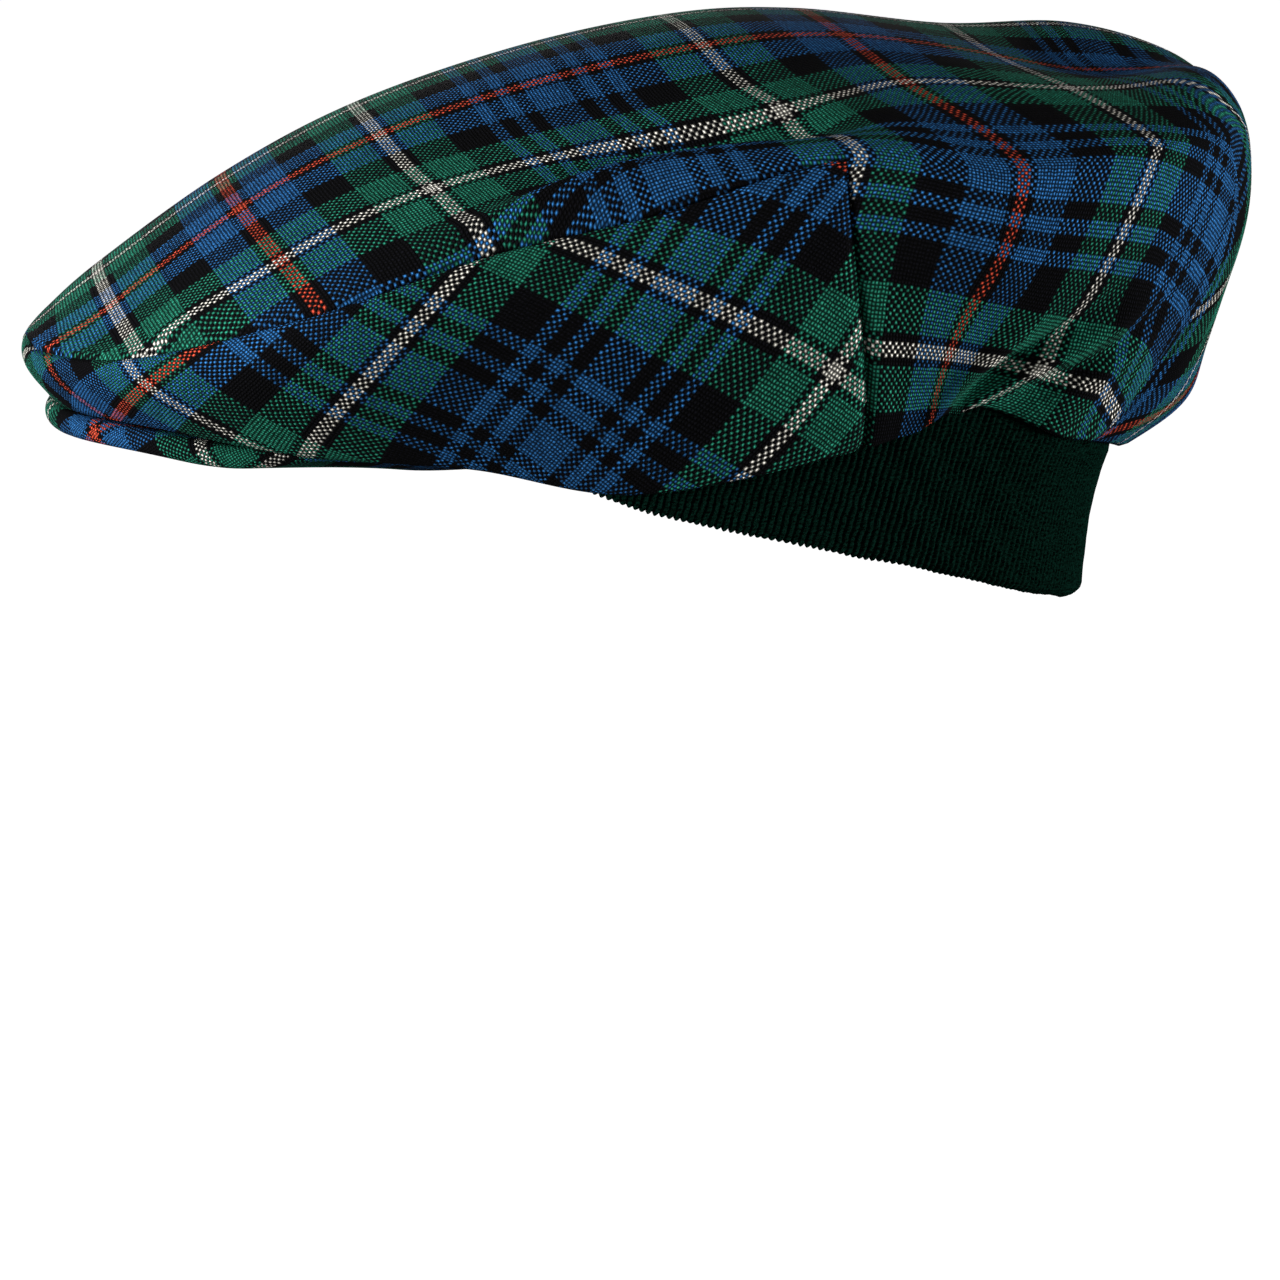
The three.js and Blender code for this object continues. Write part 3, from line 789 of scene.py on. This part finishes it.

# Finish of the knit: how much rib, loop and fuzz make up its height, and how height and stray fibres pale it.
# Paling by the height paints light on the ridges and loops and shade in the furrows, and the fuzz's share
# makes its tone uneven.
RIDGE_WEIGHT = 0.6
LOOP_WEIGHT = 0.2
LOOP_SLANT = 0.5
FUZZ_WEIGHT = 4.5
FUZZ_SCALE = 1.9
STRAY_WEIGHT = 5.0
STRAY_SCALE = 5.0
STRAY_POWER = 5.0
PALE_GAIN = 0.75
PALE_START = -1.78
# Ramp from the painted shade of the furrows to the painted light of the ridges and the pale of stray fibres.
KNIT_DARK = (0.00004, 0.0005, 0.0003)
KNIT_PALE = (0.0024, 0.0200, 0.0130)
KNIT_RELIEF = 0.5 * MM
KNIT_BUMP = 0.8
KNIT_ROUGHNESS = 0.95
KNIT_SPECULAR = 0.01


def arches(tree, value):
    """Row of round arches, one a unit: the size of the sine of pi times the value."""
    return math_node(tree, "ABSOLUTE", math_node(tree, "SINE", math_node(tree, "MULTIPLY", value, math.pi)))


def knit_material():
    """Dark green wool knit: small slanted loops up each rib, with painted shade in the furrows, painted light
    on the ridges and pale stray fibres.
    """
    material = bpy.data.materials.new("rib_knit")
    material.use_nodes = True
    tree = material.node_tree
    nodes, links = tree.nodes, tree.links
    shader = nodes["Principled BSDF"]
    shader.inputs["Roughness"].default_value = KNIT_ROUGHNESS
    shader.inputs["Specular IOR Level"].default_value = KNIT_SPECULAR
    uv = nodes.new("ShaderNodeUVMap")
    uv.uv_map = "threads"
    split = nodes.new("ShaderNodeSeparateXYZ")
    links.new(uv.outputs["UV"], split.inputs["Vector"])
    ridge = arches(tree, split.outputs["X"])
    loop = arches(tree, math_node(tree, "MULTIPLY_ADD", ridge, LOOP_SLANT, split.outputs["Y"]))
    fuzz = noise_node(tree, uv.outputs["UV"], FUZZ_SCALE, 5)
    ribbed = math_node(tree, "MULTIPLY", ridge, RIDGE_WEIGHT)
    rough = math_node(tree, "MULTIPLY_ADD", fuzz, FUZZ_WEIGHT, ribbed)
    height = math_node(tree, "MULTIPLY_ADD", loop, LOOP_WEIGHT, rough)
    ramp = nodes.new("ShaderNodeValToRGB")
    ramp.color_ramp.elements[0].color = (*KNIT_DARK, 1)
    ramp.color_ramp.elements[1].color = (*KNIT_PALE, 1)
    stray = math_node(tree, "POWER", noise_node(tree, uv.outputs["UV"], STRAY_SCALE, 2), STRAY_POWER)
    # Paler with height: painted light on ridges and loops, painted shade in the furrows, uneven tone from the
    # fuzz.
    raised = math_node(tree, "MULTIPLY_ADD", height, PALE_GAIN, PALE_START)
    links.new(math_node(tree, "MULTIPLY_ADD", stray, STRAY_WEIGHT, raised), ramp.inputs["Fac"])
    links.new(ramp.outputs["Color"], shader.inputs["Base Color"])
    bump = nodes.new("ShaderNodeBump")
    bump.inputs["Strength"].default_value = KNIT_BUMP
    bump.inputs["Distance"].default_value = KNIT_RELIEF
    links.new(height, bump.inputs["Height"])
    links.new(bump.outputs["Normal"], shader.inputs["Normal"])
    return material


knit_band.data.materials.append(knit_material())

# Floor, light and camera
# A pale floor well below the cap, bright sheets before the peak and behind the nape, weak fills at both sides
# and above, and the camera at the cap's left, a little above the brim line.
FLOOR_HEIGHT = -0.30
FLOOR_REACH = 60.0
PAPER = (0.85, 0.85, 0.86)
PAPER_ROUGHNESS = 0.9
PAPER_GLOW = 0.93
WHITE = (1, 1, 1, 1)
floor_corners = [(x * FLOOR_REACH, y * FLOOR_REACH, FLOOR_HEIGHT)
                 for x, y in ((-1, -1), (1, -1), (1, 1), (-1, 1))]
floor_mesh = bpy.data.meshes.new("floor")
floor_mesh.from_pydata(floor_corners, [], [(0, 1, 2, 3)])
floor = bpy.data.objects.new("floor", floor_mesh)
bpy.context.scene.collection.objects.link(floor)
paper = bpy.data.materials.new("pale_paper")
paper.use_nodes = True
paper_shader = paper.node_tree.nodes["Principled BSDF"]
paper_shader.inputs["Base Color"].default_value = (*PAPER, 1)
paper_shader.inputs["Roughness"].default_value = PAPER_ROUGHNESS
paper_shader.inputs["Emission Color"].default_value = WHITE
paper_shader.inputs["Emission Strength"].default_value = PAPER_GLOW
floor.data.materials.append(paper)
floor.visible_diffuse = False
floor.visible_glossy = False

WORLD_LIGHT = 0.10
world = bpy.data.worlds.new("studio")
world.use_nodes = True
world.node_tree.nodes["Background"].inputs["Color"].default_value = WHITE
world.node_tree.nodes["Background"].inputs["Strength"].default_value = WORLD_LIGHT
bpy.context.scene.world = world


def turned(place, aim):
    """Turn that points a lamp or a camera at a place towards an aim point."""
    return (Vector(aim) - Vector(place)).to_track_quat("-Z", "Y").to_euler()


def softbox(name, place, aim, size, power):
    """Square area light at a place, turned to an aim point."""
    lamp = bpy.data.lights.new(name, "AREA")
    lamp.size = size
    lamp.energy = power
    light = bpy.data.objects.new(name, lamp)
    light.location = place
    light.rotation_euler = turned(place, aim)
    bpy.context.scene.collection.objects.link(light)


softbox("front_sheet", place=(0.42, -1.75, 0.24), aim=(0.05, -0.05, 0.05), size=0.7, power=52)
softbox("rear_sheet", place=(0.64, 1.70, -0.14), aim=(0.05, 0.08, 0.04), size=0.8, power=52)
softbox("side_fill", place=(1.9, 0.0, 0.15), aim=(0.05, 0.0, 0.04), size=1.0, power=3)
softbox("far_fill", place=(-1.7, 0.0, 0.10), aim=(-0.05, 0.0, 0.04), size=1.0, power=14)
softbox("overhead_sheet", place=(0.0, 0.0, 1.5), aim=(0, 0, 0.05), size=1.2, power=1)

PHOTO_SIZE = 1280
FOCAL_PIXELS = 5250
SENSOR = 36.0
CAMERA_PLACE = (1.2387, -0.1011, 0.1412)
CAMERA_AIM = (0.0062, -0.0041, -0.0436)
lens = bpy.data.cameras.new("camera")
lens.sensor_width = SENSOR
lens.lens = FOCAL_PIXELS / PHOTO_SIZE * SENSOR
camera = bpy.data.objects.new("camera", lens)
camera.location = CAMERA_PLACE
camera.rotation_euler = turned(CAMERA_PLACE, CAMERA_AIM)
bpy.context.scene.collection.objects.link(camera)
bpy.context.scene.camera = camera
bpy.context.scene.view_settings.view_transform = "Standard"
